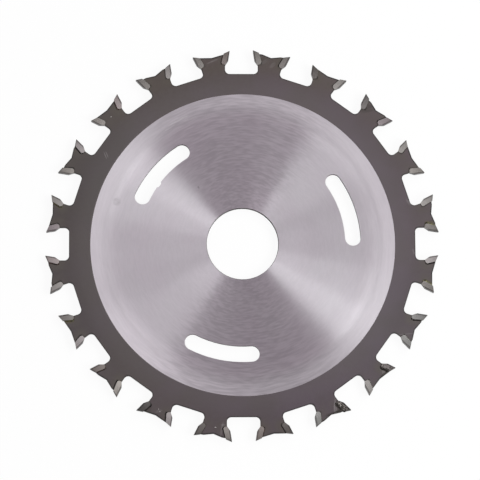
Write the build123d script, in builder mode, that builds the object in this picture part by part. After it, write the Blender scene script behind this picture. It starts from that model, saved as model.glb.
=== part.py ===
from build123d import *
from math import asin, cos, degrees, radians, sin, sqrt, tan
import os

# The plate, in millimetres: centre of the bore at the origin, halfway through the thickness
tip_circle_radius = 55.0
plate_thickness = 1.4
bore_diameter = 20.0
bore_chamfer = 0.12

# The ground recess on both faces, with a shallow bevel up to the dark rim
rim_width = 5.8
ground_depth = 0.05
ground_bevel = 0.25

# Three curved slots, one of them with a nick in its inner edge
slot_count = 3
slot_centre_radius = 30.9
slot_width = 4.4
slot_angle = 31.4
first_slot_angle = 18.9
nicked_slot = 1
nick_radius = 1.34
nick_depth = 0.45
nick_offset_angle = 5.6

# Posts on the rim, every second one with a humped back
post_count = 20
first_post_angle = 9.2
gullet_depth = 6.7
gullet_fillet = 1.3
neck_lean = 9.5
back_vertex_drop = 1.45
low_back_slope = 8.0
high_back_slope = 14.0
hump_reach = 2.6

# Carbide tips, given for the right side of a post that points up
tip_reach = 5.32
tip_width = 2.0
left_tip_rise = 0.25
rake_lean = 17.6
rake_length = 2.72
ramp_lean = 43.2
ramp_length = 1.58
foot_width = 1.16
seat_lean = 22.8
inner_chamfer = 0.4
top_lean = 75.0
side_relief_angle = 2.5
radial_relief_angle = 1.0
corner_chamfer = 0.28

# Seat in the post, one braze gap behind and below the tip, with a rounded corner
braze_gap = 0.1
seat_corner_fillet = 0.6

# Worked out from the sizes above
post_pitch = 360 / post_count
hook_angle = rake_lean - degrees(asin(tip_reach / tip_circle_radius))
slot_inner_radius = slot_centre_radius - slot_width / 2
gullet_floor_radius = tip_circle_radius - gullet_depth
ground_radius = gullet_floor_radius - rim_width


def along(lean):
    """Unit vector that leans away from the post's centre line by an angle from its axis."""
    return Vector(sin(radians(lean)), cos(radians(lean)))


def meet(start, lean, other, other_lean):
    """Point where two leaning lines cross."""
    first, second, gap = along(lean), along(other_lean), other - start
    reach = (gap.X * second.Y - gap.Y * second.X) / (first.X * second.Y - first.Y * second.X)
    return start + first * reach


def on_side(points, side):
    """The same points on the right side (1) or the left side (-1) of the post."""
    return [(side * point.X, point.Y) for point in points]


def post_plane(number):
    """Plane of the plate with its Y axis along a post."""
    return Plane.XY.rotated((0, 0, first_post_angle + post_pitch * (number - 1) - 90))


def is_high(number):
    """Every second post, from the first, has the humped back and the chamfered tips."""
    return number % 2 == 1


def tip_rise(number, side):
    """Height of a tip's point over the nominal cutting circle: only left tips alternate."""
    if side == 1:
        return 0
    return left_tip_rise if is_high(number) else -left_tip_rise


# Corners of a tip that don't depend on how high it is ground
nominal_point = Vector(tip_reach, sqrt(tip_circle_radius**2 - tip_reach**2))
rake_end = nominal_point - along(rake_lean) * rake_length
foot_outer = rake_end - along(ramp_lean) * ramp_length
foot_inner = foot_outer + along(seat_lean - 90) * foot_width
chamfer_low = foot_inner - along(seat_lean - 90) * inner_chamfer
chamfer_high = foot_inner + along(seat_lean) * inner_chamfer

# Corners of the seat
seat_outer = foot_outer - along(seat_lean) * braze_gap
seat_inner = foot_inner + (along(seat_lean - 90) - along(seat_lean)) * braze_gap


def tip_point(rise):
    """Cutting point, moved along the rake face when the tip is ground higher or lower."""
    return nominal_point + along(rake_lean) * (rise / cos(radians(hook_angle)))


def back_corners(high):
    """Back of a post from its middle to the seat: a straight slope, or a slope and a level hump."""
    vertex = Vector(0, tip_circle_radius - back_vertex_drop)
    if high:
        hump = vertex + Vector(hump_reach, hump_reach * tan(radians(high_back_slope)))
        return [vertex, hump, meet(seat_inner, seat_lean, hump, 90)]
    return [vertex, meet(seat_inner, seat_lean, vertex, 90 - low_back_slope)]


def make_post_face(high):
    """Face of one post pointing up, from its back to well inside the plate."""
    back = back_corners(high)
    root = meet(seat_outer, neck_lean, Vector(0, gullet_floor_radius - gullet_fillet), 90)
    corners = [*back, seat_inner, seat_outer, root, Vector(0, root.Y)]
    radii = [0] * (len(back) - 1) + [seat_corner_fillet, 0, 0]
    with BuildSketch() as post:
        with BuildLine():
            FilletPolyline(*corners, radius=radii)
            mirror(about=Plane.YZ)
        make_face()
    return post.sketch


def make_body():
    """Steel plate with its posts, seats, bore, slots and the ground recess on both faces."""
    high_post = make_post_face(True)
    low_post = make_post_face(False)
    first_turn = first_post_angle - 90
    with BuildPart() as body:
        with BuildSketch() as outline:
            RegularPolygon(gullet_floor_radius, post_count, major_radius=False, rotation=first_post_angle)
            with PolarLocations(0, post_count // 2, start_angle=first_turn):
                add(high_post)
            with PolarLocations(0, post_count // 2, start_angle=first_turn + post_pitch):
                add(low_post)
            gullet_corners = outline.vertices().sort_by_distance((0, 0))[: 2 * post_count]
            fillet(gullet_corners, radius=gullet_fillet)
        extrude(amount=plate_thickness / 2, both=True)

        with BuildSketch(Plane.XZ):
            floor = plate_thickness / 2 - ground_depth
            with BuildLine():
                Polyline((0, floor), (ground_radius, floor),
                         (ground_radius + 2 * ground_bevel, floor + 2 * ground_depth),
                         (0, floor + 2 * ground_depth), close=True)
            make_face()
            mirror(about=Plane.XZ)
        revolve(axis=Axis.Z, mode=Mode.SUBTRACT)

        Hole(bore_diameter / 2)
        bore_wall = body.faces().filter_by(GeomType.CYLINDER).sort_by_distance((0, 0, 0))[0]
        chamfer(bore_wall.edges().filter_by(GeomType.CIRCLE), length=bore_chamfer)

        with BuildSketch():
            for number in range(slot_count):
                middle = first_slot_angle + number * 360 / slot_count
                centre_line = CenterArc((0, 0), slot_centre_radius, middle - slot_angle / 2,
                                        slot_angle, mode=Mode.PRIVATE)
                SlotArc(centre_line, slot_width)
            nick_angle = first_slot_angle + nicked_slot * 360 / slot_count + nick_offset_angle
            nick_centre = slot_inner_radius - nick_depth + nick_radius
            with PolarLocations(nick_centre, 1, start_angle=nick_angle):
                Circle(nick_radius)
        extrude(amount=plate_thickness, both=True, mode=Mode.SUBTRACT)
    return body


def make_tip(number, side):
    """Carbide tip on one side of a post, wider than the plate and relieved behind its edges."""
    plane = post_plane(number)
    point = tip_point(tip_rise(number, side))
    top_inner = meet(foot_inner, seat_lean, point, top_lean)
    corners = [point, rake_end, foot_outer, chamfer_low, chamfer_high, top_inner]
    with BuildPart() as tip:
        with BuildSketch(plane):
            with BuildLine():
                Polyline(*on_side(corners, side), close=True)
            make_face()
        extrude(amount=tip_width / 2, both=True)
        for face in (1, -1):
            edge_point = plane.from_local_coords((side * point.X, point.Y, face * tip_width / 2))
            relief = Vector(-side * tan(radians(side_relief_angle)),
                            -tan(radians(radial_relief_angle)), face)
            split(bisect_by=tip_cut(plane, edge_point, relief), keep=Keep.BOTTOM)
            if is_high(number):
                up = along(top_lean - 90)
                low = point - up * corner_chamfer
                start = plane.from_local_coords((side * low.X, low.Y, face * tip_width / 2))
                split(bisect_by=tip_cut(plane, start, Vector(side * up.X, up.Y, face)),
                      keep=Keep.BOTTOM)
    return tip


def tip_cut(plane, origin, normal):
    """Cutting plane through a point of a tip, with its normal given in the post's own axes."""
    turned = plane.from_local_coords(normal) - plane.origin
    return Plane(origin=origin, z_dir=turned)


def make_seams(side):
    """The L-shaped layers of braze on one side of every post, as separate solids."""
    with BuildPart() as seams:
        for number in range(1, post_count + 1):
            shoulder = back_corners(is_high(number))[-1]
            tip_back = shoulder - along(seat_lean - 90) * braze_gap
            corners = [foot_outer, chamfer_low, chamfer_high, tip_back, shoulder, seat_inner, seat_outer]
            with BuildSketch(post_plane(number)):
                with BuildLine():
                    FilletPolyline(*on_side(corners, side), close=True,
                                   radius=[0, 0, 0, 0, 0, seat_corner_fillet, 0])
                make_face()
            extrude(amount=plate_thickness / 2, both=True)
    return seams


os.makedirs("parts", exist_ok=True)

blade_body = make_body()
blade_body.part.label = "blade_body"
export_step(blade_body.part, "parts/blade_body.step")

for side, side_name in ((-1, "left"), (1, "right")):
    for number in range(1, post_count + 1):
        tip = make_tip(number, side)
        tip.part.label = f"tip_{number:02d}_{side_name}"
        export_step(tip.part, f"parts/{tip.part.label}.step")
    braze_seams = make_seams(side)
    braze_seams.part.label = f"braze_seams_{side_name}"
    export_step(braze_seams.part, f"parts/{braze_seams.part.label}.step")
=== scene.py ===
"""Finishes, solder, residue and studio for a two-way circular saw blade that lies flat on a pale floor."""
from math import cos, pi, radians, sin, sqrt, tan
from random import Random

import bmesh
import bpy
from mathutils import Matrix, Vector, noise


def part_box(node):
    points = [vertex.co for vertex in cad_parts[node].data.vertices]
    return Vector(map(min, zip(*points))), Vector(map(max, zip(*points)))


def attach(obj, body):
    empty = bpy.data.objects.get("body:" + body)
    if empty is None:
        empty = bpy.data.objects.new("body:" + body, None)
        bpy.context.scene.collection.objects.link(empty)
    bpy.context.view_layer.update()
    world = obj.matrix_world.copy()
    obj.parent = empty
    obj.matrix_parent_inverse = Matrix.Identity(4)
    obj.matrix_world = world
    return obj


bl_info = {
    "name": "Circular saw blade",
    "version": (1, 0, 0),
    "blender": (4, 5, 0),
    "location": "3D View > Sidebar > Saw Blade",
    "description": "Dresses a two-way circular saw blade with carbide tips and lights it on a pale floor",
    "category": "Object",
}

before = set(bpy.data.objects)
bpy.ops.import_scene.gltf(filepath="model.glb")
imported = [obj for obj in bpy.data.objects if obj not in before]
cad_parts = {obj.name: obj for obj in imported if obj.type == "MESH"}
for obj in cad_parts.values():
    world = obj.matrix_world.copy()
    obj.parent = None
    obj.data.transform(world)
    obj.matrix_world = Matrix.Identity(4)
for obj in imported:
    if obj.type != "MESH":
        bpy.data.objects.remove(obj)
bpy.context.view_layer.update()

MM = 0.001
_, plate_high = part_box("blade_body")
tips_low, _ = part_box("tip_01_left")


def along(lean):
    """Unit vector that leans away from a post's centre line by an angle."""
    return Vector((sin(lean), cos(lean), 0))


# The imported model's own sizes, in metres, that the patterns and the added pieces follow
POST_COUNT = 20
POST_PITCH = 2 * pi / POST_COUNT
FIRST_POST_ANGLE = radians(9.2)
GROUND_RADIUS = 42.5 * MM
GULLET_FLOOR_RADIUS = 48.3 * MM
BACK_VERTEX = 53.55 * MM
HIGH_SLOPE = radians(14)
LOW_SLOPE = radians(8)
HUMP_HEIGHT = 0.65 * MM
TIP_CIRCLE_RADIUS = 55 * MM
TIP_REACH = 5.32 * MM
RAKE_LEAN = radians(17.6)
RAKE_LENGTH = 2.72 * MM
RAMP_LEAN = radians(43.2)
RAMP_LENGTH = 1.58 * MM
FOOT_WIDTH = 1.16 * MM
INNER_CHAMFER = 0.4 * MM
NECK_LEAN = radians(9.5)
SEAT_LEAN = radians(22.8)
HIGH_SEAT_LENGTH = 2.98 * MM
LOW_SEAT_LENGTH = 2.8 * MM
BRAZE_GAP = 0.1 * MM

# Corners of a right tip and of its seat on an upright post
TIP_POINT = Vector((TIP_REACH, sqrt(TIP_CIRCLE_RADIUS**2 - TIP_REACH**2), 0))
FOOT_OUTER = TIP_POINT - along(RAKE_LEAN) * RAKE_LENGTH - along(RAMP_LEAN) * RAMP_LENGTH
FOOT_INNER = FOOT_OUTER + along(SEAT_LEAN - pi / 2) * FOOT_WIDTH
SEAT_INNER = FOOT_INNER + (along(SEAT_LEAN - pi / 2) - along(SEAT_LEAN)) * BRAZE_GAP
SEAT_OUTER = FOOT_OUTER - along(SEAT_LEAN) * BRAZE_GAP

# How far the patterns round off the corners of the gullets
GULLET_ROUNDING = 2.28 * MM

# Bands of the plate's finish, each from the place where it starts to the place where it is full
DULL_BAND = (33 * MM, 40.5 * MM)
ROUGH_BAND = (35.5 * MM, 40.5 * MM)
DARKER_RIM = (GROUND_RADIUS, 50 * MM)
WARM_TO_MAUVE = (-52 * MM, 52 * MM)
BACK_LINE = (0.45 * MM, 0.2 * MM)
SEAT_WARMTH = (2.6 * MM, 0.2 * MM)
SEAT_SOOT = (0.3 * MM, 0.05 * MM)

# Shades that are mixed into the plate's own colours
FINE_MARK_SHADE = (0.9, 0.87, 0.9, 1)
DULL_BAND_SHADE = (0.833, 0.776, 0.83, 1)
SMUDGE_SHADE = (0.2, 0.19, 0.2, 1)
GLINT_SHADE = (1, 0.98, 1, 1)
GRAIN_SHADE = (0.13, 0.12, 0.12, 1)
BURNT_EDGE_SHADE = (0.030, 0.028, 0.027, 1)
SEAT_WARMTH_SHADE = (0.10, 0.088, 0.074, 1)
SEAT_SOOT_SHADE = (0.040, 0.035, 0.030, 1)
SOOT_SHADE = (0.035, 0.032, 0.027, 1)
TARNISH_SHADE = (0.115, 0.1, 0.045, 1)
SCUFF_SHADE = (0.30, 0.28, 0.28, 1)
CUT_LINE_SHADE = (0.095, 0.088, 0.084, 1)

# Rubbed spots on the rim: post, across and up in mm, lean in degrees, length and width in mm, strength
SCUFFS = (
    (17, -2.05, 52.0, 24, 2.9, 0.5, 0.4), (17, -1.4, 52.5, 27, 2.0, 0.25, 0.45),
    (15, -2.1, 52.0, 3, 2.7, 0.4, 0.33), (15, -2.25, 50.75, 86, 1.0, 0.3, 0.33),
    (6, -0.6, 52.4, 76, 1.5, 0.25, 0.3), (6, 0.7, 52.75, 78, 1.6, 0.3, 0.3),
    (9, 4.9, 45.45, 42, 1.5, 0.16, 0.5), (9, 5.35, 45.15, 42, 1.3, 0.16, 0.5),
    (1, -4.2, 47.9, 60, 1.6, 0.5, 0.3), (19, 2.1, 51.9, -32, 3.2, 0.12, 0.4),
    (5, 0.7, 51.6, 40, 1.4, 0.7, 0.2), (5, -1.9, 52.1, 50, 1.5, 0.6, 0.2),
    (14, -0.3, 52.2, 50, 1.3, 0.5, 0.25), (18, -2.0, 53.0, 30, 0.8, 0.6, 0.35),
    (20, -5.2, 47.5, 70, 1.2, 0.3, 0.3),
)

# Sooty spots beside the tips, given in the same way
SOOT = (
    (3, -2.1, 52.3, 35, 3.4, 1.5, 0.5), (17, -1.7, 53.95, -76, 4.4, 0.8, 1),
    (17, -3.2, 53.9, -76, 2.0, 1.0, 1), (18, -2.1, 53.85, -82, 3.0, 0.7, 1),
    (1, 2.4, 52.9, -20, 2.0, 0.8, 0.4), (5, -2.2, 52.6, 30, 2.6, 1.2, 0.3),
    (14, 2.2, 52.9, -20, 2.4, 0.8, 0.4),
)

# Olive tarnish that the solder left on the steel, given in the same way
TARNISH = (
    (1, 2.3, 52.7, 18, 1.8, 0.6, 0.7), (12, 2.35, 52.8, 20, 1.8, 0.55, 0.5),
    (20, 2.5, 52.8, 22, 1.7, 0.45, 0.5), (10, 2.2, 51.9, 20, 0.9, 0.5, 0.5),
)

# Spots on the ground middle: turn in degrees, radius, length round the bore and width in mm, strength
SMUDGES = ((161.4, 37.0, 1.5, 1.4, 0.3), (127.7, 20.1, 0.35, 0.5, 0.6))
GLINTS = ((116.5, 39.3, 4.5, 0.35, 0.5), (112.0, 38.3, 3.0, 0.3, 0.3), (121.5, 38.6, 2.5, 0.3, 0.3))

# Broad painted light and shade: direction and reach in degrees, radii in mm where full and where gone,
# change
GROUND_PAINTED_LIGHT = (
    (63, 22, 14, 21, 0.1), (113, 38, 26, 34, -0.06), (232, 34, 14, 21, 0.08),
    (357, 34, 14, 21, 0.07), (225, 27, 40, 33, 0.16), (294, 40, 40, 35, -0.13),
    (130, 40, 41, 36, -0.08), (15, 42, 39, 36, 0.045), (188, 18, 39, 36, 0.05),
)
# Broad painted light and shade on the rim, given in the same way
RIM_PAINTED_LIGHT = (
    (94, 50, 43, 40, 0.15), (333, 25, 43, 40, -0.12), (155, 25, 43, 40, -0.1), (185, 48, 50, 44, -0.08),
)
# Broad tints of the rim's blue, given in the same way
RIM_BLUES = ((98, 85, 51, 47, -0.08), (303, 60, 49, 43, 0.05), (205, 25, 50, 43, 0.05))

# Finishes of the tips: tint, level, streaks, grime, lean of the streaks in degrees, tips
TIP_FINISHES = {
    "carbide_pale": ((1, 0.985, 1.0), 1.12, 0.5, 0, 0, ("12_left", "14_left", "20_left", "09_right")),
    "carbide_straw": ((1, 1.0, 0.94), 1.3, 0.6, 0, -38, ("13_left",)),
    "carbide_rosy": ((1, 0.935, 0.94), 1.06, 0.35, 0, 0, ("08_right", "11_right")),
    "carbide_clean": ((1, 1.005, 0.985), 0.95, 0.35, 0, 0,
                      ("01_left", "11_left", "18_right", "07_right", "04_right", "10_right")),
    "carbide_scored": ((1, 1.01, 0.98), 0.95, 0.8, 0.03, -38, ("02_left",)),
    "carbide_warm": ((1, 0.985, 0.945), 0.87, 0.45, 0, 0, ("09_left", "02_right", "15_left", "08_left")),
    "carbide_cool": ((0.98, 1.02, 1.015), 0.82, 0.55, 0, 0, ("19_left", "17_right", "19_right")),
    "carbide_mauve": ((1, 0.935, 0.985), 0.85, 0.35, 0, 0, ("03_right", "10_left")),
    "carbide_mid": ((1, 0.99, 0.96), 0.69, 0.45, 0, 0,
                    ("01_right", "05_right", "12_right", "20_right", "05_left", "06_left", "07_left")),
    "carbide_brown": ((1, 0.93, 0.89), 0.66, 0.5, 0.03, 0, ("06_right", "16_right", "13_right")),
    "carbide_dull": ((1, 0.98, 0.98), 0.54, 0.5, 0.06, 0, ("03_left",)),
    "carbide_sooty": ((1, 0.955, 0.96), 0.72, 0.5, 0.3, 0, ("18_left",)),
    "carbide_dark": ((1, 0.955, 0.93), 0.40, 0.6, 0.08, 0, ("04_left", "16_left", "15_right")),
    "carbide_black": ((1, 0.99, 0.98), 0.28, 0.6, 0.1, 0, ("14_right",)),
    "carbide_burnt": ((1, 0.97, 0.93), 0.6, 0.6, 0.42, 0, ("17_left",)),
}
GRIME_SHADE = (0.035, 0.032, 0.029, 1)
BEVEL_PAINTED_SHADE = (0.06, 0.056, 0.054, 1)

# Parts of a tip, measured from its foot, where a painted highlight lightens it and where it is darker
FOOT_HIGHLIGHT = (0.3 * MM, 3.0 * MM)
DARK_POINT = (2.6 * MM, 4.2 * MM)

# Solder: its colour and the colour of its tarnish
SEAM_SOLDER = ((0.16, 0.14, 0.11, 1), (0.04, 0.036, 0.03, 1))
DROP_SOLDER = ((0.42, 0.395, 0.37, 1), (0.24, 0.22, 0.2, 1))
SPECK_METAL = ((0.95, 0.93, 0.9, 1), (0.8, 0.78, 0.75, 1))
BEAD_SOLDERS = {
    "olive": ((0.14, 0.126, 0.06, 1), (0.06, 0.055, 0.035, 1)),
    "brown": ((0.085, 0.052, 0.042, 1), (0.035, 0.028, 0.026, 1)),
    # pale and dark are one solder's colour, partly painted lit and partly painted in shade
    "pale": ((0.10, 0.088, 0.08, 1), (0.05, 0.043, 0.038, 1)),
    "dark": ((0.045, 0.038, 0.035, 1), (0.022, 0.019, 0.018, 1)),
}

# Burnt flux: its glassy black, its brown patches and its grey flecks
FLUX_BLACK = (0.006, 0.005, 0.004, 1)
FLUX_BROWN = (0.05, 0.043, 0.037, 1)
FLUX_GREY = (0.2, 0.185, 0.17, 1)

# Beads of solder: their usual width in mm, and the joints that have them; the other joints are dark
BEAD_WIDTHS = {"olive": 0.45, "brown": 0.27, "pale": 0.2, "burnt": 0.45, "dark": 0.27}
BEAD_JOINTS = {
    "olive": ("01_right", "10_right", "12_right", "20_right"),
    "brown": ("06_right", "08_right", "11_right", "13_right", "16_right"),
    # Pale beads sit at the joints turned towards the lamps: partly solder, partly painted light
    "pale": ("01_left", "02_left", "03_left", "04_left", "05_left", "06_left", "07_left", "08_left",
             "02_right", "04_right", "07_right", "15_right", "17_right", "18_right", "19_right"),
    "burnt": ("17_left", "18_left"),
}
# Wide beads darken the joints turned away from the lamps: partly solder, partly painted shade
WIDE_BEAD_WIDTH = 0.36
WIDE_BEAD_JOINTS = ("09_left", "10_left", "12_left", "13_left", "14_left", "15_left", "19_left", "20_left",
                    "08_right", "09_right", "11_right", "14_right")

# Starting numbers of the random sizes and of the uneven edges, so that every run gives the same ones
BEAD_SEED = 7
RESIDUE_SEED = 11

# Ranges for each bead: the share of its usual width, then its height and its gap at the back in mm
WIDTH_SHARES = (0.9, 1.15)
BEAD_HEIGHTS = (0.11, 0.16)
BACK_GAPS = (0.1, 0.25)

# A bead's section and run: how far it enters the tip and the plate, its lip, its ends and its steps
BEAD_OVERLAP = 0.04 * MM
BEAD_ROOT = 0.05 * MM
BEAD_LIP = 0.02 * MM
BEAD_START = 0.6
BEAD_TAPER = 0.82
BEAD_STEPS = 7
BEND_STEPS = 4
BEAD_WOBBLE = 0.035 * MM
BEAD_WOBBLE_SIZE = 0.45 * MM

# Burnt flux down the seats of left tips: post, lumps, reach over steel and over tip, lowest place, in mm
SEAT_CRUST = ((17, 30, 0.3, 0.85, 0.75), (17, 22, 0.3, 0.2, 0.1), (18, 20, 0.25, 0.2, 0.5))
SEAT_CRUST_TOP = 2.5
SEAT_CRUST_RISES = (0.04, 0.07)
SEAT_CRUST_SPREADS = (0.15, 0.32)
CRUST_LEVEL_ON_TIP = 0.92 * MM
CRUST_LEVEL_ON_STEEL = 0.73 * MM

# Burnt flux along the backs of the same posts: post, lumps, its height in mm over the centre, its slope
BACK_CRUST = ((17, 20, 53.45, HIGH_SLOPE), (18, 12, 53.4, LOW_SLOPE))
BACK_CRUST_BEND = 2.6
BACK_CRUST_ACROSS = (0.5, 3.2)
BACK_CRUST_INSETS = (0.1, 0.35)
BACK_CRUST_SPREADS = (0.14, 0.26)
BACK_CRUST_RISE = 0.03 * MM

# Thick flux on the shoulder of post 17: across and up in mm
SHOULDER_POST = 17
SHOULDER_CRUST = ((3.5, 54.4), (3.25, 54.2), (3.7, 54.55))
SHOULDER_LEVEL = 0.3 * MM
SHOULDER_SPREAD = 0.24 * MM
SHOULDER_RISE = 0.5 * MM

# Drops of solder beside left tips, and bright specks on the rim: post, across, up and spread in mm
SOLDER_DROPS = ((17, 3.25, 52.55, 0.24), (17, 3.12, 51.8, 0.3), (17, 3.4, 52.15, 0.2),
                (17, 3.85, 53.4, 0.16), (18, 3.05, 51.45, 0.2), (18, 3.3, 52.3, 0.12))
DROP_LEVEL = 0.97 * MM
DROP_RISE = 0.06 * MM
BRIGHT_SPECKS = ((8, -0.48, 51.4, 0.12), (14, 0.0, 51.7, 0.12), (14, -0.64, 52.2, 0.11),
                 (15, -0.2, 51.75, 0.13))
SPECK_RISE = 0.04 * MM

# How far the dents of a rough lump reach, in shares of its spread
LUMP_DENTS = Vector((0.35, 0.35, 0.15))

# Panel lamps round the right of the blade: azimuth in degrees, width in metres, share of the level
PANELS = ((-27.8, 0.245, 2.2), (-10.4, 0.25, 1.42), (9.1, 0.294, 0.86),
          (30.1, 0.294, 0.74), (50.8, 0.295, 1.02), (71.0, 0.24, 0.1))
PANEL_HEIGHT = 0.36
PANEL_DISTANCE = 0.9
PANEL_ELEVATION = radians(32)

# Floor, with its reach from the middle in metres
FLOOR_REACH = 6
FLOOR_COLOUR = (0.92, 0.92, 0.92, 1)
FLOOR_GLOW = 0.93
WHITE = (1, 1, 1, 1)

# Camera: the width of its sensor in millimetres, and its shift in widths of the picture
SENSOR_WIDTH = 36
LENS_SHIFT = (-0.00525, 0.00849)


def spaced(name):
    """A socket's label, from a name written with _ for each space."""
    return name.replace("_", " ")


class Wiring:
    """Adds nodes to one node tree and joins them, from left to right."""

    def __init__(self, tree):
        self.tree = tree

    def feed(self, socket, value):
        """Links another socket to this one, or sets a plain value on it."""
        if isinstance(value, bpy.types.NodeSocket):
            self.tree.links.new(value, socket)
        else:
            socket.default_value = value

    def add(self, kind, inputs=None, **settings):
        """A node of one kind, with its settings, and sockets or plain values on its inputs."""
        node = self.tree.nodes.new(kind)
        count = len(self.tree.nodes)
        node.location = (190 * (count - 3), -170 * (count % 4))
        for name, value in settings.items():
            setattr(node, name, value)
        for key, value in (inputs or {}).items():
            self.feed(node.inputs[key], value)
        return node

    def math(self, operation, *values, clamp=False):
        """One step of arithmetic."""
        node = self.add("ShaderNodeMath", dict(enumerate(values)), operation=operation, use_clamp=clamp)
        return node.outputs[0]

    def plus(self, first, second):
        """The sum of two numbers."""
        return self.math("ADD", first, second)

    def times(self, first, second):
        """The product of two numbers."""
        return self.math("MULTIPLY", first, second)

    def vector(self, operation, *values, output=0):
        """One step of vector arithmetic."""
        node = self.add("ShaderNodeVectorMath", dict(enumerate(values)), operation=operation)
        return node.outputs[output]

    def scale(self, value, factor):
        """A vector or a colour times a number."""
        node = self.add("ShaderNodeVectorMath", {0: value, "Scale": factor}, operation="SCALE")
        return node.outputs[0]

    def combine(self, **parts):
        """A vector from its X, Y and Z parts, each 0 where it isn't given."""
        return self.add("ShaderNodeCombineXYZ", parts).outputs[0]

    def split(self, vector):
        """The X, Y and Z parts of a vector."""
        return self.add("ShaderNodeSeparateXYZ", {0: vector}).outputs

    def ramp(self, value, low, high, start=0.0, end=1.0):
        """A smooth step from start to end while the value goes from low to high."""
        inputs = {"Value": value, "From Min": low, "From Max": high, "To Min": start, "To Max": end}
        return self.add("ShaderNodeMapRange", inputs, interpolation_type="SMOOTHSTEP").outputs["Result"]

    def noise(self, place, scale, detail=2.0, rough=0.5):
        """Fractal noise between 0 and 1."""
        inputs = {"Vector": place, "Scale": scale, "Detail": detail, "Roughness": rough}
        return self.add("ShaderNodeTexNoise", inputs).outputs["Fac"]

    def mix(self, factor, first, second, blend="MIX"):
        """Two colours mixed."""
        inputs = {0: factor, 6: first, 7: second}
        return self.add("ShaderNodeMix", inputs, data_type="RGBA", blend_type=blend).outputs[2]

    def group(self, fill, **inputs):
        """The outputs of the node group that a function fills, built the first time it is used."""
        tree = bpy.data.node_groups.get(fill.__name__)
        if tree is None:
            tree = bpy.data.node_groups.new(fill.__name__, "ShaderNodeTree")
            fill(Wiring(tree))
        node = self.add("ShaderNodeGroup", node_tree=tree)
        for name, value in inputs.items():
            self.feed(node.inputs[spaced(name)], value)
        return node.outputs

    def receive(self, **kinds):
        """The named inputs of a node group, each with its kind of socket."""
        for name, kind in kinds.items():
            self.tree.interface.new_socket(spaced(name), in_out="INPUT", socket_type=f"NodeSocket{kind}")
        return self.add("NodeGroupInput").outputs

    def hand_out(self, **sockets):
        """Gives a node group its named outputs."""
        for name, socket in sockets.items():
            kind = "NodeSocketVector" if socket.type == "VECTOR" else "NodeSocketFloat"
            self.tree.interface.new_socket(spaced(name), in_out="OUTPUT", socket_type=kind)
        outputs = self.add("NodeGroupOutput").inputs
        for name, socket in sockets.items():
            self.tree.links.new(socket, outputs[spaced(name)])


def place_on_post(w):
    """Group that gives a point's radius and turn, and its place in the nearest post's own axes."""
    given = w.receive(Position="Vector")
    flat = w.vector("MULTIPLY", given["Position"], (1, 1, 0))
    radius = w.vector("LENGTH", flat, output=1)
    axes = w.split(flat)
    turn = w.math("ARCTAN2", axes["Y"], axes["X"])
    steps = w.math("DIVIDE", w.math("SUBTRACT", turn, FIRST_POST_ANGLE), POST_PITCH)
    nearest = w.math("ROUND", steps)
    local = w.times(w.math("SUBTRACT", steps, nearest), POST_PITCH)
    up = w.times(radius, w.math("COSINE", local))
    side = w.times(w.times(radius, w.math("SINE", local)), -1.0)
    place = w.combine(X=w.math("ABSOLUTE", side), Y=up)
    number = w.math("WRAP", w.plus(nearest, 1.0), POST_COUNT + 0.5, 0.5)
    w.hand_out(Radius=radius, Turn=turn, Side=side, Up=up, Post=number, Place=place)


def distance_from_line(w, place, point, lean):
    """Distance of a place from a leaning line, more than 0 on the side of the post's centre line."""
    normal = Vector((-cos(lean), sin(lean), 0))
    return w.vector("DOT_PRODUCT", w.vector("SUBTRACT", place, point), normal, output=1)


def cut_outline(w):
    """Group that gives a point's depth in the outline, and its distance from the back and the seats."""
    given = w.receive(Place="Vector", Post="Float")
    place = given["Place"]
    along_rim = w.vector("DOT_PRODUCT", place, along(POST_PITCH / 2), output=1)
    rim = w.math("SUBTRACT", GULLET_FLOOR_RADIUS, along_rim)
    neck = distance_from_line(w, place, SEAT_OUTER, NECK_LEAN)
    axes = w.split(place)
    high = w.math("GREATER_THAN", w.math("MODULO", given["Post"], 2.0), 0.5)
    low_back = w.times(axes["X"], tan(LOW_SLOPE))
    high_back = w.math("MINIMUM", w.times(axes["X"], tan(HIGH_SLOPE)), HUMP_HEIGHT)
    rise = w.plus(w.times(high, high_back), w.times(w.math("SUBTRACT", 1.0, high), low_back))
    back = w.math("SUBTRACT", w.plus(rise, BACK_VERTEX), axes["Y"])
    depth = w.math("SMOOTH_MAX", rim, w.math("MINIMUM", neck, back), GULLET_ROUNDING)
    beside = distance_from_line(w, place, SEAT_INNER, SEAT_LEAN)
    below = w.times(distance_from_line(w, place, SEAT_INNER, SEAT_LEAN + pi / 2), -1.0)
    corner = w.combine(X=w.math("MAXIMUM", beside, 0.0), Y=w.math("MAXIMUM", below, 0.0))
    w.hand_out(Depth=depth, From_Back=back, From_Seat=w.vector("LENGTH", corner, output=1))


def ring_marks(w):
    """Group for the marks of a blade ground as it turned: wavy arcs round the bore, and finer ones."""
    given = w.receive(Position="Vector", Radius="Float", Spacing="Float", Arc="Float")
    way = w.vector("NORMALIZE", w.vector("MULTIPLY", given["Position"], (1, 1, 0)))
    sway = w.times(w.noise(given["Position"], 130.0, 1.0), 3.0)
    steps = w.plus(w.math("DIVIDE", given["Radius"], given["Spacing"]), sway)
    place = w.vector("ADD", w.scale(way, given["Arc"]), w.combine(Z=steps))
    coarse = w.noise(place, 0.5, 1.5, 0.5)
    fine = w.noise(place, 1.7, 2.0, 0.7)
    w.hand_out(Marks=w.ramp(coarse, 0.3, 0.7), Fine=w.ramp(fine, 0.3, 0.7))


def surface_mottle(w):
    """Group for the soft patches and the grain of a bare or oxidised metal face."""
    given = w.receive(Position="Vector", Patch_Size="Float", Grain_Size="Float")
    patches = w.noise(given["Position"], w.math("DIVIDE", 1.0, given["Patch Size"]), 2.0, 0.5)
    grain = w.noise(given["Position"], w.math("DIVIDE", 1.0, given["Grain Size"]), 3.0, 0.6)
    w.hand_out(Patches=w.ramp(patches, 0.35, 0.65), Grain=w.ramp(grain, 0.3, 0.7))


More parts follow.
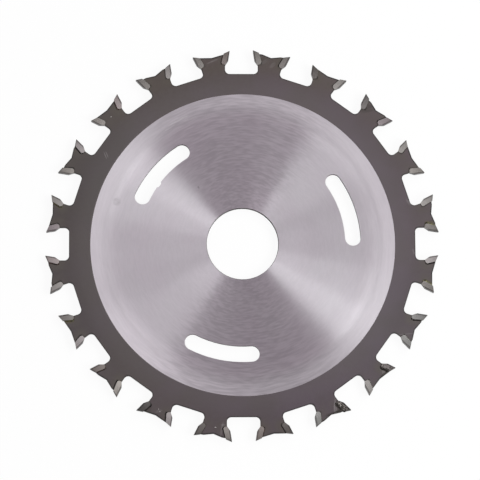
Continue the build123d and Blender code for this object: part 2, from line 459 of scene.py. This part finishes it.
def scuff(w):
    """Group for one rubbed or smudged spot, as streaks inside a soft oval."""
    given = w.receive(Place="Vector", Middle="Vector", Lean="Float", Size="Vector")
    offset = w.vector("SUBTRACT", given["Place"], given["Middle"])
    turned = w.add("ShaderNodeVectorRotate", {"Vector": offset, "Axis": (0, 0, 1), "Angle": given["Lean"]},
                   rotation_type="AXIS_ANGLE").outputs[0]
    local = w.vector("DIVIDE", turned, given["Size"])
    oval = w.ramp(w.vector("LENGTH", local, output=1), 0.5, 0.2)
    streaks = w.noise(w.vector("MULTIPLY", local, (5, 0.7, 0)), 1.0, 2.0, 0.6)
    w.hand_out(Mask=w.times(oval, w.ramp(streaks, 0.35, 0.65, 0.4, 1.0)))


def new_material(name):
    """A material whose wiring, object coordinates and Principled shader are ready for a pattern."""
    material = bpy.data.materials.new(name)
    material.use_nodes = True
    w = Wiring(material.node_tree)
    coordinates = w.add("ShaderNodeTexCoord").outputs
    return material, w, coordinates, material.node_tree.nodes["Principled BSDF"].inputs


def join(w, shader, **sockets):
    """Links finished patterns to the shader's sockets."""
    for name, socket in sockets.items():
        w.tree.links.new(socket, shader[spaced(name)])


def roughen(w, shader, strength, distance, height):
    """Links a bump to the shader."""
    bump = w.add("ShaderNodeBump", {"Strength": strength, "Distance": distance, "Height": height})
    join(w, shader, Normal=bump.outputs[0])


def flatness(w, coordinates):
    """A number that is 1 on level faces and 0 on upright walls."""
    return w.math("ABSOLUTE", w.split(coordinates["Normal"])["Z"])


def dress(piece, material):
    """Puts one material on all of a piece."""
    piece.data.materials.clear()
    piece.data.materials.append(material)


class PlateFinish(bpy.types.PropertyGroup):
    """Sizes and colours of the steel plate's finish."""
    ground_radius: bpy.props.FloatProperty(
        name="Ground Radius", description="Radius of the ground middle of the plate",
        default=GROUND_RADIUS, unit="LENGTH", subtype="DISTANCE")
    ground_centre: bpy.props.FloatVectorProperty(
        name="Ground Centre",
        description="Centre of the ground middle, which was ground a little off the bore",
        size=3, default=(0.12 * MM, -0.05 * MM, 0), unit="LENGTH", subtype="TRANSLATION")
    mark_spacing: bpy.props.FloatProperty(
        name="Mark Spacing", description="Distance between the coarser grinding marks",
        default=0.26 * MM, unit="LENGTH", subtype="DISTANCE")
    edge_width: bpy.props.FloatProperty(
        name="Cut Edge Width", description="Width of the burnt line along the cut outline",
        default=0.38 * MM, unit="LENGTH", subtype="DISTANCE")
    ground_colour: bpy.props.FloatVectorProperty(
        name="Ground Steel", description="Colour of the ground steel",
        size=4, min=0, max=1, default=(0.605, 0.574, 0.612, 1), subtype="COLOR")
    dull_colour: bpy.props.FloatVectorProperty(
        name="Duller Steel", description="Colour of the duller patches of the ground steel",
        size=4, min=0, max=1, default=(0.585, 0.54, 0.588, 1), subtype="COLOR")
    scale_colour: bpy.props.FloatVectorProperty(
        name="Dark Rim", description="Colour of the oxidised steel on the rim and the posts",
        size=4, min=0, max=1, default=(0.122, 0.099, 0.115, 1), subtype="COLOR")
    warm_colour: bpy.props.FloatVectorProperty(
        name="Warm Rim", description="Colour of the oxidised steel at the left of the picture",
        size=4, min=0, max=1, default=(0.096, 0.081, 0.084, 1), subtype="COLOR")
    outer_shade: bpy.props.FloatVectorProperty(
        name="Outer Shade",
        description="How much darker and browner the posts are than the steel beside the ground middle",
        size=4, min=0, max=1, default=(0.865, 0.835, 0.81, 1), subtype="COLOR")
    stain_colour: bpy.props.FloatVectorProperty(
        name="Rim Stains", description="Colour of the rim's browner patches",
        size=4, min=0, max=1, default=(0.091, 0.081, 0.071, 1), subtype="COLOR")
    wall_colour: bpy.props.FloatVectorProperty(
        name="Cut Walls", description="Colour of the cut edges, the slots and the bore",
        size=4, min=0, max=1, default=(0.045, 0.042, 0.041, 1), subtype="COLOR")


class TipFinish(bpy.types.PropertyGroup):
    """Sizes and colours of the carbide tips' finish."""
    land_width: bpy.props.FloatProperty(
        name="Ground Land", description="Width of the darker land along the rake side of each tip",
        default=0.38 * MM, unit="LENGTH", subtype="DISTANCE")
    carbide_colour: bpy.props.FloatVectorProperty(
        name="Carbide", description="Colour of a clean carbide face",
        size=4, min=0, max=1, default=(0.43, 0.415, 0.399, 1), subtype="COLOR")
    land_colour: bpy.props.FloatVectorProperty(
        name="Land", description="Colour of the land along the rake side",
        size=4, min=0, max=1, default=(0.19, 0.18, 0.174, 1), subtype="COLOR")


class StudioSettings(bpy.types.PropertyGroup):
    """Camera, lamps and floor."""
    camera_distance: bpy.props.FloatProperty(
        name="Camera Distance", description="Distance from the camera to the middle of the blade",
        default=0.7, unit="LENGTH", subtype="DISTANCE")
    tilt_down: bpy.props.FloatProperty(
        name="Tilt to the Bottom",
        description="How far the camera stands towards the bottom of the picture",
        default=radians(8.45), subtype="ANGLE", unit="ROTATION")
    roll: bpy.props.FloatProperty(
        name="Roll", description="Clockwise turn of the camera about its own view",
        default=radians(0.17), subtype="ANGLE", unit="ROTATION")
    tilt_left: bpy.props.FloatProperty(
        name="Tilt to the Left",
        description="How far the camera stands towards the left of the picture",
        default=radians(2.0), subtype="ANGLE", unit="ROTATION")
    focal_length: bpy.props.FloatProperty(
        name="Focal Length", description="Focal length of the camera, in millimetres",
        default=188.18)
    panel_level: bpy.props.FloatProperty(
        name="Panel Level",
        description="Brightness of the panel lamps at the right, in watts per metre of width",
        default=5.2)
    lamp_colour: bpy.props.FloatVectorProperty(
        name="Lamp Colour", description="Colour of the panel lamps",
        size=3, min=0, max=1, default=(0.945, 1.0, 0.965), subtype="COLOR")
    overhead_colour: bpy.props.FloatVectorProperty(
        name="Overhead", description="Colour and brightness of the studio above the blade",
        size=4, min=0, max=1, default=(0.50, 0.457, 0.485, 1), subtype="COLOR")


def places_on_plate(w, at, finish):
    """Sockets that the plate's finishes share: where a point is, and the marks and patches there."""
    post = w.group(place_on_post, Position=at)
    radius, axes = post["Radius"], w.split(at)
    return {
        "at": at,
        "axes": axes,
        "top": w.math("GREATER_THAN", axes["Z"], 0.0),
        "way": w.vector("NORMALIZE", w.vector("MULTIPLY", at, (1, 1, 0))),
        "post": post,
        "radius": radius,
        "outline": w.group(cut_outline, Place=post["Place"], Post=post["Post"]),
        "marks": w.group(ring_marks, Position=at, Radius=radius, Spacing=finish.mark_spacing, Arc=18),
        "mottle": w.group(surface_mottle, Position=at, Patch_Size=12 * MM, Grain_Size=0.9 * MM),
    }


def broad_shades(w, here, shades):
    """A factor near 1 that swings slowly round the blade, for painted light and shade and for the rim's
    blue tint.
    """
    level = 1.0
    for direction, reach, full, gone, change in shades:
        middle = (cos(radians(direction)), sin(radians(direction)), 0)
        towards = w.vector("DOT_PRODUCT", here["way"], middle, output=1)
        near = w.ramp(towards, cos(radians(reach)), 1.0, 0.0, change)
        level = w.math("MULTIPLY_ADD", near, w.ramp(here["radius"], gone * MM, full * MM), level)
    return level


def add_spot(w, colour, shade, strength, top, **oval):
    """Mixes one soft spot into a colour, on the top face only."""
    mask = w.times(w.group(scuff, **oval)["Mask"], strength)
    return w.mix(w.times(mask, top), colour, shade)


def ground_steel(w, here, finish):
    """Colour of the ground middle, with its turned marks, its duller outer band, smudges, glints, and
    painted light and shade.
    """
    radius, marks = here["radius"], here["marks"]
    east, north = (w.math("DIVIDE", here["axes"][axis], radius) for axis in "XY")
    patches = w.times(here["mottle"]["Patches"], 0.5)
    colour = w.mix(patches, tuple(finish.ground_colour), tuple(finish.dull_colour))
    # Painted shade: the ground middle darkens towards the bottom and a little towards the right
    colour = w.scale(colour, w.plus(w.times(east, -0.04), w.ramp(north, -1.0, -0.75, 0.87, 1.01)))
    colour = w.mix(w.times(marks["Fine"], 0.06), colour, FINE_MARK_SHADE)
    colour = w.mix(w.ramp(radius, *DULL_BAND, 0.0, 0.5), colour, DULL_BAND_SHADE)
    # The turned marks are real, but painted stronger towards the top and the bottom, where the light shows
    # them
    painted_mark_contrast = w.ramp(w.math("ABSOLUTE", north), 0.7, 0.95, 0.04, 0.19)
    ripple = w.times(w.math("SUBTRACT", marks["Marks"], 0.5), painted_mark_contrast)
    colour = w.scale(colour, w.plus(ripple, 1.0))
    # Painted light and shade that swing slowly round the ground middle
    colour = w.scale(colour, broad_shades(w, here, GROUND_PAINTED_LIGHT))
    on_disc = w.combine(X=here["post"]["Turn"], Y=radius)
    for spots, shade in ((SMUDGES, SMUDGE_SHADE), (GLINTS, GLINT_SHADE)):
        for turn, reach, length, width, strength in spots:
            colour = add_spot(w, colour, shade, strength, here["top"], Place=on_disc,
                              Middle=(radians(turn), reach * MM, 0),
                              Size=(2 * length / reach, 2 * width * MM, 1))
    return colour


def oxidised_steel(w, here, finish):
    """Colour of the dark rim and the posts, with burnt edges, warmth at the seats, soot, scuffs, and
    painted light and shade.
    """
    axes, post, outline, mottle = here["axes"], here["post"], here["outline"], here["mottle"]
    across = w.ramp(w.plus(axes["X"], w.times(axes["Y"], -0.35)), *WARM_TO_MAUVE)
    colour = w.mix(across, tuple(finish.warm_colour), tuple(finish.scale_colour))
    colour = w.mix(w.times(mottle["Patches"], 0.35), colour, tuple(finish.stain_colour))
    colour = w.mix(w.ramp(here["radius"], *DARKER_RIM), colour, tuple(finish.outer_shade), blend="MULTIPLY")
    colour = w.mix(w.times(mottle["Grain"], 0.1), colour, GRAIN_SHADE)
    # Painted light and shade that swing slowly round the rim
    colour = w.scale(colour, broad_shades(w, here, RIM_PAINTED_LIGHT))
    colour = w.vector("MULTIPLY", colour, w.combine(X=1, Y=1, Z=broad_shades(w, here, RIM_BLUES)))
    edge_line = w.ramp(outline["Depth"], finish.edge_width, 0.2 * finish.edge_width, 0.0, 0.7)
    back_line = w.ramp(outline["From Back"], *BACK_LINE, 0.0, 0.9)
    colour = w.mix(w.math("MAXIMUM", edge_line, back_line), colour, BURNT_EDGE_SHADE)
    warmth = w.times(w.ramp(outline["From Seat"], *SEAT_WARMTH), mottle["Patches"])
    colour = w.mix(w.times(warmth, 0.6), colour, SEAT_WARMTH_SHADE)
    colour = w.mix(w.ramp(outline["From Seat"], *SEAT_SOOT, 0.0, 0.3), colour, SEAT_SOOT_SHADE)
    on_post = w.combine(X=post["Side"], Y=post["Up"], Z=post["Post"])
    for spots, shade in ((SOOT, SOOT_SHADE), (TARNISH, TARNISH_SHADE), (SCUFFS, SCUFF_SHADE)):
        for number, side, up, lean, length, width, strength in spots:
            colour = add_spot(w, colour, shade, strength, here["top"], Place=on_post,
                              Middle=(side * MM, up * MM, number), Lean=radians(lean),
                              Size=(2 * width * MM, 2 * length * MM, 1))
    return colour


def cut_wall(w, here, finish):
    """Colour of the cut walls, and the upright lines that cutting left on them."""
    lines = w.noise(w.vector("MULTIPLY", here["at"], (1, 1, 0.07)), 3200.0, 3.0, 0.65)
    lines = w.ramp(lines, 0.4, 0.62)
    return w.mix(w.times(lines, 0.8), tuple(finish.wall_colour), CUT_LINE_SHADE), lines


def plate_material(finish):
    """Ground steel in the middle, oxidised steel on the rim and posts, and darker cut walls."""
    material, w, coordinates, shader = new_material("plate_steel")
    here = places_on_plate(w, coordinates["Object"], finish)
    face = w.ramp(flatness(w, coordinates), 0.75, 0.9)
    offset = w.vector("SUBTRACT", here["at"], tuple(finish.ground_centre))
    from_centre = w.vector("LENGTH", w.vector("MULTIPLY", offset, (1, 1, 0)), output=1)
    middle = w.math("LESS_THAN", from_centre, finish.ground_radius)
    ground = w.times(middle, face)

    wall, cut_lines = cut_wall(w, here, finish)
    level = w.mix(middle, oxidised_steel(w, here, finish), ground_steel(w, here, finish))
    join(w, shader, Base_Color=w.mix(face, wall, level))

    rough_band = w.ramp(here["radius"], *ROUGH_BAND)
    dulling = w.times(w.times(rough_band, ground), 0.32)
    join(w, shader, Metallic=w.math("SUBTRACT", w.ramp(ground, 0.0, 1.0, 0.15, 1.0), dulling))
    rim_rough = w.ramp(here["mottle"]["Grain"], 0, 1, 0.7, 0.8)
    ground_rough = w.plus(w.times(rough_band, 0.28), 0.36)
    rough = w.add("ShaderNodeMix", {0: ground, 2: rim_rough, 3: ground_rough}, data_type="FLOAT")
    join(w, shader, Roughness=rough.outputs[0])
    shader["Anisotropic"].default_value = 1.0
    shader["Anisotropic Rotation"].default_value = 0.25
    join(w, shader, Tangent=w.vector("NORMALIZE", w.vector("CROSS_PRODUCT", (0, 0, 1), here["at"])))

    height = w.plus(w.times(w.times(ground, here["marks"]["Marks"]), 0.3),
                    w.times(here["mottle"]["Grain"], 0.2))
    height = w.plus(height, w.times(w.math("SUBTRACT", 1.0, face), cut_lines))
    roughen(w, shader, 0.4, 0.03 * MM, height)
    return material


def carbide_material(name, finish, tint, level, streaks, grime, lean):
    """Ground carbide, lighter at its foot by a painted highlight, with a darker land along the rake side
    and painted shade on its bevels and walls.
    """
    material, w, coordinates, shader = new_material(name)
    post = w.group(place_on_post, Position=coordinates["Object"])
    own_noise = w.combine(Z=w.plus(w.times(post["Post"], 3.7), w.math("SIGN", post["Side"])))
    face_colour = [level * shade * value for shade, value in zip(tint, finish.carbide_colour)] + [1]
    dark_colour = [0.5 * value for value in face_colour[:3]] + [1]
    foot_highlight_colour = [1.1 * value + 0.02 for value in face_colour[:3]] + [1]
    land_colour = [level * shade * value for shade, value in zip(tint, finish.land_colour)] + [1]

    from_rake = distance_from_line(w, post["Place"], TIP_POINT, RAKE_LEAN)
    offset = w.vector("SUBTRACT", post["Place"], FOOT_OUTER)
    from_foot = w.vector("DOT_PRODUCT", offset, along(RAKE_LEAN), output=1)
    turned = w.add("ShaderNodeMapping", {"Vector": w.combine(X=from_rake, Y=from_foot),
                                         "Rotation": (0, 0, radians(lean))}).outputs[0]
    streak_place = w.vector("ADD", w.vector("MULTIPLY", turned, (3200, 420, 0)), own_noise)
    streak = w.ramp(w.noise(streak_place, 1.0, 3.0, 0.6), 0.36, 0.64)
    face = w.mix(w.times(streak, streaks), face_colour, dark_colour)
    # Painted highlight: the tip is lighter near its foot
    face = w.mix(w.ramp(from_foot, *FOOT_HIGHLIGHT, 0.8, 0.0), face, foot_highlight_colour)
    face = w.mix(w.ramp(from_foot, *DARK_POINT, 0.0, 0.55), face, dark_colour)
    land = w.ramp(from_rake, finish.land_width * 1.2, finish.land_width * 0.7)
    colour = w.mix(land, face, land_colour)

    blotches = w.noise(w.vector("ADD", coordinates["Object"], own_noise), 1600.0, 4.0, 0.65)
    dirt = w.ramp(blotches, 0.60 - 0.35 * grime, 0.70 - 0.3 * grime, 0.0, min(1.0, 2.5 * grime))
    colour = w.mix(dirt, colour, GRIME_SHADE)
    # Painted shade: the tip's bevels and upright walls are darkened by how far they slope
    bevel_shading = w.ramp(flatness(w, coordinates), 0.97, 0.85, 0.0, 0.75)
    join(w, shader, Base_Color=w.mix(bevel_shading, colour, BEVEL_PAINTED_SHADE))
    shader["Metallic"].default_value = 0.8
    join(w, shader, Roughness=w.plus(w.ramp(streak, 0, 1, 0.38, 0.5), w.times(dirt, 0.25)))
    roughen(w, shader, 0.3, 0.01 * MM, w.plus(streak, w.times(dirt, 2.0)))
    return material


def solder_material(name, colour, tarnish, rough=0.42):
    """Silver solder with its flux tarnish."""
    material, w, coordinates, shader = new_material(name)
    mottle = w.group(surface_mottle, Position=coordinates["Object"],
                     Patch_Size=0.7 * MM, Grain_Size=0.12 * MM)
    join(w, shader, Base_Color=w.mix(mottle["Patches"], colour, tarnish))
    shader["Metallic"].default_value = 0.6
    join(w, shader, Roughness=w.ramp(mottle["Grain"], 0, 1, rough - 0.08, rough + 0.16))
    roughen(w, shader, 0.4, 0.02 * MM, mottle["Grain"])
    return material


def flux_material():
    """Burnt flux: black glassy crust with grey and brown flecks."""
    if "burnt_flux" in bpy.data.materials:
        return bpy.data.materials["burnt_flux"]
    material, w, coordinates, shader = new_material("burnt_flux")
    mottle = w.group(surface_mottle, Position=coordinates["Object"],
                     Patch_Size=0.3 * MM, Grain_Size=0.08 * MM)
    colour = w.mix(mottle["Patches"], FLUX_BLACK, FLUX_BROWN)
    colour = w.mix(w.times(mottle["Grain"], 0.15), colour, FLUX_GREY)
    join(w, shader, Base_Color=colour)
    shader["Specular IOR Level"].default_value = 0.2
    join(w, shader, Roughness=w.ramp(mottle["Grain"], 0, 1, 0.5, 0.8))
    roughen(w, shader, 0.6, 0.03 * MM, mottle["Grain"])
    return material


class SAWBLADE_OT_finish_plate(bpy.types.Operator):
    """Give the steel plate its ground middle, dark rim and cut walls"""
    bl_idname = "sawblade.finish_plate"
    bl_label = "Finish Plate"

    def execute(self, context):
        dress(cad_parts["blade_body"], plate_material(context.scene.sawblade_plate))
        return {"FINISHED"}


class SAWBLADE_OT_finish_tips(bpy.types.Operator):
    """Give each carbide tip its ground, dull, stained or burnt finish"""
    bl_idname = "sawblade.finish_tips"
    bl_label = "Finish Tips"

    def execute(self, context):
        finish = context.scene.sawblade_tips
        for name, (tint, level, streaks, grime, lean, tips) in TIP_FINISHES.items():
            material = carbide_material(name, finish, tint, level, streaks, grime, lean)
            for tip in tips:
                dress(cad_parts[f"tip_{tip}"], material)
        return {"FINISHED"}


class SAWBLADE_OT_finish_solder(bpy.types.Operator):
    """Give the thin layers of solder behind the tips their tarnished silver"""
    bl_idname = "sawblade.finish_solder"
    bl_label = "Finish Solder"

    def execute(self, context):
        solder = solder_material("solder_seam", *SEAM_SOLDER)
        for side in ("left", "right"):
            dress(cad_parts[f"braze_seams_{side}"], solder)
        return {"FINISHED"}


def draw_out(bm, face):
    """Extrudes a face where it is, and returns the new face and its corners."""
    made = bmesh.ops.extrude_face_region(bm, geom=[face])["geom"]
    return (next(item for item in made if isinstance(item, bmesh.types.BMFace)),
            [item for item in made if isinstance(item, bmesh.types.BMVert)])


def put_on_post(bm, corners, post, side, face):
    """Moves corners drawn on the right of an upright post to their own post, side and face of the plate."""
    bmesh.ops.scale(bm, vec=(side, 1, face), verts=corners)
    turn = Matrix.Rotation(FIRST_POST_ANGLE + POST_PITCH * (post - 1) - pi / 2, 3, "Z")
    bmesh.ops.rotate(bm, cent=(0, 0, 0), matrix=turn, verts=corners)


def resize(bm, corners, middle, factor):
    """Scales corners about a point."""
    bmesh.ops.scale(bm, vec=(factor, factor, factor), space=Matrix.Translation(-middle), verts=corners)


def lay_bead(bm, post, side, face, width, height, back_gap):
    """One fillet of solder in the corner between a tip's wall and the plate, down to the tip's foot."""
    first = len(bm.verts)
    down, out = -along(SEAT_LEAN), along(SEAT_LEAN + pi / 2)
    seat_length = (HIGH_SEAT_LENGTH if post % 2 else LOW_SEAT_LENGTH) - back_gap
    start = FOOT_INNER - down * seat_length
    start.z = plate_high.z
    straight = down * (seat_length - INNER_CHAMFER)
    step = straight / BEAD_STEPS
    section = ((-BEAD_OVERLAP, -BEAD_ROOT), (-BEAD_OVERLAP, height), (0.3 * width, 0.45 * height),
               (width, BEAD_LIP), (width, -BEAD_ROOT))
    corners = [bm.verts.new(start - out * reach + Vector((0, 0, lift))) for reach, lift in section]
    end_face = bm.faces.new(corners)
    resize(bm, corners, start, BEAD_START)
    for number in range(BEAD_STEPS):
        end_face, corners = draw_out(bm, end_face)
        bmesh.ops.translate(bm, vec=step, verts=corners)
        if number == 0:
            resize(bm, corners, start + step, 1 / BEAD_START)

    centre = FOOT_INNER + (out - down) * INNER_CHAMFER
    turn = Matrix.Rotation(pi / 2 / BEND_STEPS, 3, "Z")
    here = start + straight
    for _ in range(BEND_STEPS):
        end_face, corners = draw_out(bm, end_face)
        bmesh.ops.rotate(bm, cent=centre, matrix=turn, verts=corners)
        here = centre + turn @ (here - centre)
        resize(bm, corners, here, BEAD_TAPER)
    bm.verts.ensure_lookup_table()
    put_on_post(bm, bm.verts[first:], post, side, face)


def finish_mesh(bm, name, material, context):
    """Closes and smooths a bmesh, makes it a piece of the blade and gives it its material."""
    bmesh.ops.recalc_face_normals(bm, faces=bm.faces)
    mesh = bpy.data.meshes.new(name)
    bm.to_mesh(mesh)
    bm.free()
    for face in mesh.polygons:
        face.use_smooth = True
    piece = bpy.data.objects.new(name, mesh)
    context.scene.collection.objects.link(piece)
    dress(piece, material)
    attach(piece, "root")


class SAWBLADE_OT_lay_solder(bpy.types.Operator):
    """Lay the fillets of solder that stand in the corners round the tips"""
    bl_idname = "sawblade.lay_solder"
    bl_label = "Lay Solder"

    def execute(self, context):
        joints = [f"{post:02d}_{side}" for post in range(1, POST_COUNT + 1) for side in ("left", "right")]
        named = sum(BEAD_JOINTS.values(), ())
        chosen = {**BEAD_JOINTS, "dark": [joint for joint in joints if joint not in named]}
        materials = {kind: solder_material(f"solder_{kind}", *colours)
                     for kind, colours in BEAD_SOLDERS.items()}
        materials["burnt"] = flux_material()
        noise.seed_set(BEAD_SEED)
        random = Random(BEAD_SEED)
        for kind, usual_width in BEAD_WIDTHS.items():
            bm = bmesh.new()
            for joint in chosen[kind]:
                width = WIDE_BEAD_WIDTH if joint in WIDE_BEAD_JOINTS else usual_width
                for face in (1, -1):
                    lay_bead(bm, int(joint[:2]), 1 if joint.endswith("right") else -1, face,
                             width * random.uniform(*WIDTH_SHARES) * MM,
                             random.uniform(*BEAD_HEIGHTS) * MM, random.uniform(*BACK_GAPS) * MM)
            for corner in bm.verts:
                corner.co += BEAD_WOBBLE * noise.noise_vector(corner.co / BEAD_WOBBLE_SIZE)
            finish_mesh(bm, f"solder_beads_{kind}", materials[kind], context)
        return {"FINISHED"}


def add_lump(bm, random, post, side, place, spread, rise):
    """One rough lump, given by its place on the right side of an upright post, its spread and its rise."""
    shape = Matrix.Diagonal((spread, spread * random.uniform(0.5, 0.9), rise, 1))
    turned = Matrix.Rotation(random.uniform(0, pi), 4, "Z") @ shape
    lump = bmesh.ops.create_icosphere(bm, subdivisions=2, radius=1,
                                      matrix=Matrix.Translation(place) @ turned)
    for corner in lump["verts"]:
        dent = noise.noise_vector(corner.co / (0.5 * spread)).x
        corner.co += LUMP_DENTS * spread * dent
    put_on_post(bm, lump["verts"], post, side, 1)


class SAWBLADE_OT_add_residue(bpy.types.Operator):
    """Add the burnt flux on two joints, the drops of solder at their feet and a few bright specks"""
    bl_idname = "sawblade.add_residue"
    bl_label = "Add Residue"

    def execute(self, context):
        noise.seed_set(RESIDUE_SEED)
        random = Random(RESIDUE_SEED)
        crust = bmesh.new()
        self.crust_seats(crust, random)
        self.crust_backs(crust, random)
        for across, up in SHOULDER_CRUST:
            place = Vector((across * MM, up * MM, SHOULDER_LEVEL))
            add_lump(crust, random, SHOULDER_POST, -1, place, SHOULDER_SPREAD, SHOULDER_RISE)
        finish_mesh(crust, "flux_crust", flux_material(), context)

        drops = bmesh.new()
        for post, across, up, spread in SOLDER_DROPS:
            place = Vector((across * MM, up * MM, DROP_LEVEL))
            add_lump(drops, random, post, -1, place, spread * MM, DROP_RISE)
        solder = solder_material("solder_bright", *DROP_SOLDER, rough=0.6)
        finish_mesh(drops, "solder_drops", solder, context)

        specks = bmesh.new()
        for post, across, up, spread in BRIGHT_SPECKS:
            place = Vector((across * MM, up * MM, plate_high.z))
            add_lump(specks, random, post, 1, place, spread * MM, SPECK_RISE)
        metal = solder_material("speck_metal", *SPECK_METAL)
        finish_mesh(specks, "bright_specks", metal, context)
        return {"FINISHED"}

    def crust_seats(self, crust, random):
        """Lumps of flux down the seats, over the steel on one side and over the tip on the other."""
        for post, count, over_steel, over_tip, lowest in SEAT_CRUST:
            for _ in range(count):
                up_seat = random.uniform(lowest, SEAT_CRUST_TOP) * MM
                beside = random.uniform(-over_tip, over_steel) * MM
                rise = random.uniform(*SEAT_CRUST_RISES) * MM
                spread = random.uniform(*SEAT_CRUST_SPREADS) * MM
                place = FOOT_INNER + along(SEAT_LEAN) * up_seat - along(SEAT_LEAN + pi / 2) * beside
                place.z = CRUST_LEVEL_ON_TIP if beside < 0 else CRUST_LEVEL_ON_STEEL
                add_lump(crust, random, post, -1, place, spread, rise)

    def crust_backs(self, crust, random):
        """Lumps of flux along the left half of the posts' backs."""
        for post, count, height, slope in BACK_CRUST:
            for _ in range(count):
                across = random.uniform(*BACK_CRUST_ACROSS)
                up = height + min(across, BACK_CRUST_BEND) * tan(slope) - random.uniform(*BACK_CRUST_INSETS)
                spread = random.uniform(*BACK_CRUST_SPREADS) * MM
                place = Vector((across * MM, up * MM, plate_high.z))
                add_lump(crust, random, post, -1, place, spread, BACK_CRUST_RISE)


class SAWBLADE_OT_add_studio(bpy.types.Operator):
    """Add the pale floor, the soft studio light and the camera"""
    bl_idname = "sawblade.add_studio"
    bl_label = "Add Studio"

    def execute(self, context):
        studio = context.scene.sawblade_studio
        self.add_floor(context)
        self.light_world(context, studio)
        for number, (azimuth, width, share) in enumerate(PANELS, 1):
            self.add_panel(context, studio, f"panel_{number}", radians(azimuth), width, share)
        self.add_camera(context, studio)
        context.scene.view_settings.view_transform = "Standard"
        return {"FINISHED"}

    def add_panel(self, context, studio, name, azimuth, width, share):
        """An upright panel lamp on the right of the blade that faces it."""
        lamp = bpy.data.lights.new(name, "AREA")
        lamp.shape = "RECTANGLE"
        lamp.size, lamp.size_y = width, PANEL_HEIGHT
        lamp.energy = share * width * studio.panel_level
        lamp.color = studio.lamp_colour
        holder = bpy.data.objects.new(name, lamp)
        context.scene.collection.objects.link(holder)
        way = Vector((cos(azimuth), sin(azimuth), tan(PANEL_ELEVATION))).normalized()
        holder.location = way * PANEL_DISTANCE
        holder.rotation_euler = way.to_track_quat("Z", "Y").to_euler()

    def add_floor(self, context):
        """A wide floor under the tips that keeps the blade's soft shadow."""
        mesh = bpy.data.meshes.new("studio_floor")
        bm = bmesh.new()
        bmesh.ops.create_grid(bm, x_segments=1, y_segments=1, size=FLOOR_REACH,
                              matrix=Matrix.Translation((0, 0, tips_low.z)))
        bm.to_mesh(mesh)
        bm.free()
        floor = bpy.data.objects.new("studio_floor", mesh)
        context.scene.collection.objects.link(floor)
        material, w, coordinates, shader = new_material("studio_floor")
        shader["Base Color"].default_value = FLOOR_COLOUR
        shader["Roughness"].default_value = 0.9
        path = w.add("ShaderNodeLightPath").outputs
        seen = w.plus(path["Is Camera Ray"], path["Is Glossy Ray"])
        seen = w.math("ADD", seen, path["Is Transmission Ray"], clamp=True)
        glow = w.add("ShaderNodeEmission", {"Color": WHITE, "Strength": 1.0}).outputs[0]
        lit = w.tree.nodes["Principled BSDF"].outputs[0]
        mixed = w.add("ShaderNodeMixShader", {0: w.times(seen, FLOOR_GLOW), 1: lit, 2: glow}).outputs[0]
        w.tree.links.new(mixed, w.tree.nodes["Material Output"].inputs[0])
        dress(floor, material)

    def light_world(self, context, studio):
        """White round the horizon and greyer overhead, as in a bright room with a dim ceiling."""
        world = bpy.data.worlds.new("studio")
        context.scene.world = world
        world.use_nodes = True
        w = Wiring(world.node_tree)
        up = w.split(w.add("ShaderNodeTexCoord").outputs["Generated"])["Z"]
        colour = w.mix(w.ramp(up, 0.02, 0.2), WHITE, tuple(studio.overhead_colour))
        world.node_tree.links.new(colour, world.node_tree.nodes["Background"].inputs["Color"])

    def add_camera(self, context, studio):
        """The camera stands above the blade, a little towards the bottom and the left of the picture."""
        camera = bpy.data.cameras.new("camera")
        camera.lens, camera.sensor_width = studio.focal_length, SENSOR_WIDTH
        camera.shift_x, camera.shift_y = LENS_SHIFT
        holder = bpy.data.objects.new("camera", camera)
        context.scene.collection.objects.link(holder)
        back = Vector((-sin(studio.tilt_left), -sin(studio.tilt_down) * cos(studio.tilt_left),
                       cos(studio.tilt_down) * cos(studio.tilt_left)))
        holder.location = back * studio.camera_distance
        side = Matrix.Rotation(-studio.roll, 3, back) @ Vector((0, 1, 0)).cross(back).normalized()
        holder.rotation_euler = Matrix((side, back.cross(side), back)).transposed().to_euler()
        context.scene.camera = holder


class SAWBLADE_PT_panel(bpy.types.Panel):
    """Sidebar panel with the steps that dress the blade, and their settings"""
    bl_idname = "SAWBLADE_PT_panel"
    bl_label = "Saw Blade"
    bl_space_type = "VIEW_3D"
    bl_region_type = "UI"
    bl_category = "Saw Blade"

    def draw(self, context):
        for group in SETTINGS:
            settings = getattr(context.scene, group)
            box = self.layout.box()
            for name in settings.__annotations__:
                box.prop(settings, name)
        for step in STEPS:
            self.layout.operator(step.bl_idname)


STEPS = (SAWBLADE_OT_finish_plate, SAWBLADE_OT_finish_tips, SAWBLADE_OT_finish_solder,
         SAWBLADE_OT_lay_solder, SAWBLADE_OT_add_residue, SAWBLADE_OT_add_studio)
SETTINGS = {"sawblade_plate": PlateFinish, "sawblade_tips": TipFinish, "sawblade_studio": StudioSettings}


def register():
    for kind in (*SETTINGS.values(), *STEPS, SAWBLADE_PT_panel):
        bpy.utils.register_class(kind)
    for name, kind in SETTINGS.items():
        setattr(bpy.types.Scene, name, bpy.props.PointerProperty(type=kind))


def unregister():
    for name in SETTINGS:
        delattr(bpy.types.Scene, name)
    for kind in reversed((*SETTINGS.values(), *STEPS, SAWBLADE_PT_panel)):
        bpy.utils.unregister_class(kind)


def main():
    register()
    bpy.ops.sawblade.finish_plate()
    bpy.ops.sawblade.finish_tips()
    bpy.ops.sawblade.finish_solder()
    bpy.ops.sawblade.lay_solder()
    bpy.ops.sawblade.add_residue()
    bpy.ops.sawblade.add_studio()


if __name__ == "__main__":
    main()
